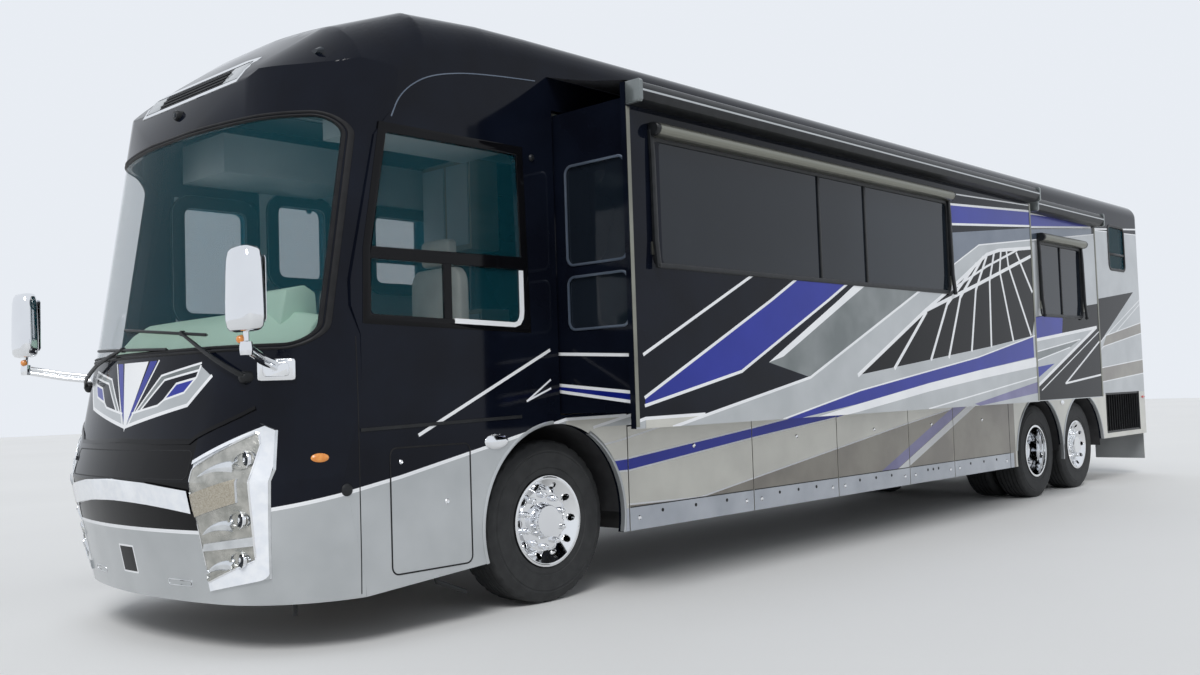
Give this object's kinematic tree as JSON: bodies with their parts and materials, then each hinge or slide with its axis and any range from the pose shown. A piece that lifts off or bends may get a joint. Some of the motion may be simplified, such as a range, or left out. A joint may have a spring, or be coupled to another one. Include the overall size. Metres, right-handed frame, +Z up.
{
  "type": "three-axle motorhome",
  "caption": "Large flat-fronted motorhome on three axles with slide-out rooms, steered front wheels, storage bay doors, entry door and rear engine door.",
  "frame": {"origin": "on the ground, on the centreline, halfway along the body", "axes": "+X forward, +Y to the left, +Z up"},
  "size_m": [13.6898, 4.175, 3.92],
  "materials": {
    "body_paint": "gloss two-tone coach paint",
    "black_paint": "gloss black",
    "silver_paint": "metallic silver",
    "roof_white": "fibreglass",
    "lamp_lens": "clear lamp lens over chrome",
    "red_lens": "red lens",
    "tinted_glass": "tinted",
    "floor": "matt",
    "chassis_black": "satin black",
    "liner": "textured",
    "grille": "satin",
    "engine_metal": "rough",
    "awning_fabric": "woven vinyl",
    "dash_trim": "soft",
    "seat_leather": "soft",
    "steering_leather": "satin",
    "polished_chrome": "polished",
    "black_trim": "satin",
    "tyre_rubber": "matt"
  },
  "bodies": {
    "coach": {"front_cap": "black_paint", "nose_panel": "black_paint", "headlamps": "lamp_lens", "windscreen": "tinted_glass", "left_wall": "body_paint", "right_wall": "body_paint", "side_glass": "tinted_glass", "roof": "roof_white", "rear_cap": "body_paint", "tail_lamps": "red_lens", "house_floor": "floor", "chassis_frame": "chassis_black", "basement_tray": "chassis_black", "wheel_liners": "liner", "rear_grille": "grille", "axles": "chassis_black", "engine_block": "engine_metal", "topper_fabrics": "awning_fabric", "dashboard": "dash_trim", "seats": "seat_leather", "mirrors": "polished_chrome", "wipers": "black_trim", "roof_units": "roof_white", "hitch_receiver": "chassis_black"},
    "knuckle_left": {"knuckle_left": "chassis_black"},
    "knuckle_right": {"knuckle_right": "chassis_black"},
    "steering_wheel": {"steering_wheel": "steering_leather"},
    "wheel_front_left": {"tyre_front_left": "tyre_rubber", "rim_front_left": "polished_chrome"},
    "wheel_front_right": {"tyre_front_right": "tyre_rubber", "rim_front_right": "polished_chrome"},
    "wheel_drive_left": {"tyre_drive_left": "tyre_rubber", "rim_drive_left": "polished_chrome"},
    "wheel_drive_right": {"tyre_drive_right": "tyre_rubber", "rim_drive_right": "polished_chrome"},
    "wheel_tag_left": {"tyre_tag_left": "tyre_rubber", "rim_tag_left": "polished_chrome"},
    "wheel_tag_right": {"tyre_tag_right": "tyre_rubber", "rim_tag_right": "polished_chrome"},
    "slide_front_left": {"slide_front_left_room": "body_paint", "slide_front_left_glass": "tinted_glass", "slide_front_left_awning": "black_trim"},
    "slide_rear_left": {"slide_rear_left_room": "body_paint", "slide_rear_left_glass": "tinted_glass", "slide_rear_left_awning": "black_trim"},
    "slide_right": {"slide_right_room": "body_paint", "slide_right_glass": "tinted_glass", "slide_right_awning": "black_trim"},
    "engine_door": {"engine_door": "body_paint"},
    "entry_door": {"entry_door": "body_paint", "entry_glass": "tinted_glass"},
    "access_door": {"access_door": "silver_paint"},
    "bay_door_left_1": {"bay_door_left_1": "silver_paint"},
    "bay_door_left_2": {"bay_door_left_2": "silver_paint"},
    "bay_door_left_3": {"bay_door_left_3": "silver_paint"},
    "bay_door_left_4": {"bay_door_left_4": "silver_paint"},
    "bay_door_left_5": {"bay_door_left_5": "silver_paint"},
    "bay_door_right_1": {"bay_door_right_1": "silver_paint"},
    "bay_door_right_2": {"bay_door_right_2": "silver_paint"},
    "bay_door_right_3": {"bay_door_right_3": "silver_paint"}
  },
  "joints": [
    {"name": "steer_left", "type": "hinge", "parent": "coach", "child": "knuckle_left", "pos_m": [4.525, 0.93, 0.522], "axis": [0, 0, 1], "range_deg": [-40, 40]},
    {"name": "steer_right", "type": "hinge", "parent": "coach", "child": "knuckle_right", "pos_m": [4.525, -0.93, 0.522], "axis": [0, 0, 1], "range_deg": [-40, 40]},
    {"name": "steering_wheel_turn", "type": "hinge", "parent": "coach", "child": "steering_wheel", "pos_m": [5.855, 0.62, 1.64], "axis": [-0.6, 0, 0.8], "range_deg": [-720, 720]},
    {"name": "roll_front_left", "type": "hinge", "parent": "knuckle_left", "child": "wheel_front_left", "pos_m": [4.525, 1.0425, 0.522], "axis": [0, 1, 0], "continuous": true},
    {"name": "roll_front_right", "type": "hinge", "parent": "knuckle_right", "child": "wheel_front_right", "pos_m": [4.525, -1.0425, 0.522], "axis": [0, 1, 0], "continuous": true},
    {"name": "roll_drive_left", "type": "hinge", "parent": "coach", "child": "wheel_drive_left", "pos_m": [-3.165, 1.0425, 0.522], "axis": [0, 1, 0], "continuous": true},
    {"name": "roll_drive_right", "type": "hinge", "parent": "coach", "child": "wheel_drive_right", "pos_m": [-3.165, -1.0425, 0.522], "axis": [0, 1, 0], "continuous": true},
    {"name": "roll_tag_left", "type": "hinge", "parent": "coach", "child": "wheel_tag_left", "pos_m": [-4.485, 1.0425, 0.522], "axis": [0, 1, 0], "continuous": true},
    {"name": "roll_tag_right", "type": "hinge", "parent": "coach", "child": "wheel_tag_right", "pos_m": [-4.485, -1.0425, 0.522], "axis": [0, 1, 0], "continuous": true},
    {"name": "slide_front_left", "type": "slide", "parent": "coach", "child": "slide_front_left", "axis": [0, -1, 0], "range_m": [0, 0.64], "deforming": ["topper_fabrics"]},
    {"name": "slide_rear_left", "type": "slide", "parent": "coach", "child": "slide_rear_left", "axis": [0, -1, 0], "range_m": [0, 0.56], "deforming": ["topper_fabrics"]},
    {"name": "slide_right", "type": "slide", "parent": "coach", "child": "slide_right", "axis": [0, 1, 0], "range_m": [0, 0.64], "deforming": ["topper_fabrics"]},
    {"name": "engine_door_hinge", "type": "hinge", "parent": "coach", "child": "engine_door", "pos_m": [-6.845, 0, 1.765], "axis": [0, 1, 0], "range_deg": [0, 80]},
    {"name": "entry_door_hinge", "type": "hinge", "parent": "coach", "child": "entry_door", "pos_m": [5.86, -1.2825, 1.62], "axis": [0, 0, 1], "range_deg": [0, 90]},
    {"name": "access_door_hinge", "type": "hinge", "parent": "coach", "child": "access_door", "pos_m": [5.834, 1.2825, 0.7125], "axis": [0, 0, -1], "range_deg": [0, 90]},
    {"name": "bay_door_left_1_hinge", "type": "hinge", "parent": "coach", "child": "bay_door_left_1", "pos_m": [3.848, 1.2825, 0.7445], "axis": [0, 0, -1], "range_deg": [0, 90]},
    {"name": "bay_door_left_2_hinge", "type": "hinge", "parent": "coach", "child": "bay_door_left_2", "pos_m": [2.3967, 1.2825, 0.7445], "axis": [0, 0, -1], "range_deg": [0, 90]},
    {"name": "bay_door_left_3_hinge", "type": "hinge", "parent": "coach", "child": "bay_door_left_3", "pos_m": [1.15988, 1.2825, 0.7445], "axis": [0, 0, -1], "range_deg": [0, 90]},
    {"name": "bay_door_left_4_hinge", "type": "hinge", "parent": "coach", "child": "bay_door_left_4", "pos_m": [-0.10104, 1.2825, 0.7445], "axis": [0, 0, -1], "range_deg": [0, 90]},
    {"name": "bay_door_left_5_hinge", "type": "hinge", "parent": "coach", "child": "bay_door_left_5", "pos_m": [-1.01892, 1.2825, 0.7445], "axis": [0, 0, -1], "range_deg": [0, 90]},
    {"name": "bay_door_right_1_hinge", "type": "hinge", "parent": "coach", "child": "bay_door_right_1", "pos_m": [3.848, -1.2825, 0.7445], "axis": [0, 0, 1], "range_deg": [0, 90]},
    {"name": "bay_door_right_2_hinge", "type": "hinge", "parent": "coach", "child": "bay_door_right_2", "pos_m": [1.77984, -1.2825, 0.7445], "axis": [0, 0, 1], "range_deg": [0, 90]},
    {"name": "bay_door_right_3_hinge", "type": "hinge", "parent": "coach", "child": "bay_door_right_3", "pos_m": [-0.30501, -1.2825, 0.7445], "axis": [0, 0, 1], "range_deg": [0, 90]}
  ],
  "couplings": [
    {"joint": "steer_right", "follows": "steer_left", "ratio": 1},
    {"joint": "steering_wheel_turn", "follows": "steer_left", "ratio": 18}
  ]
}
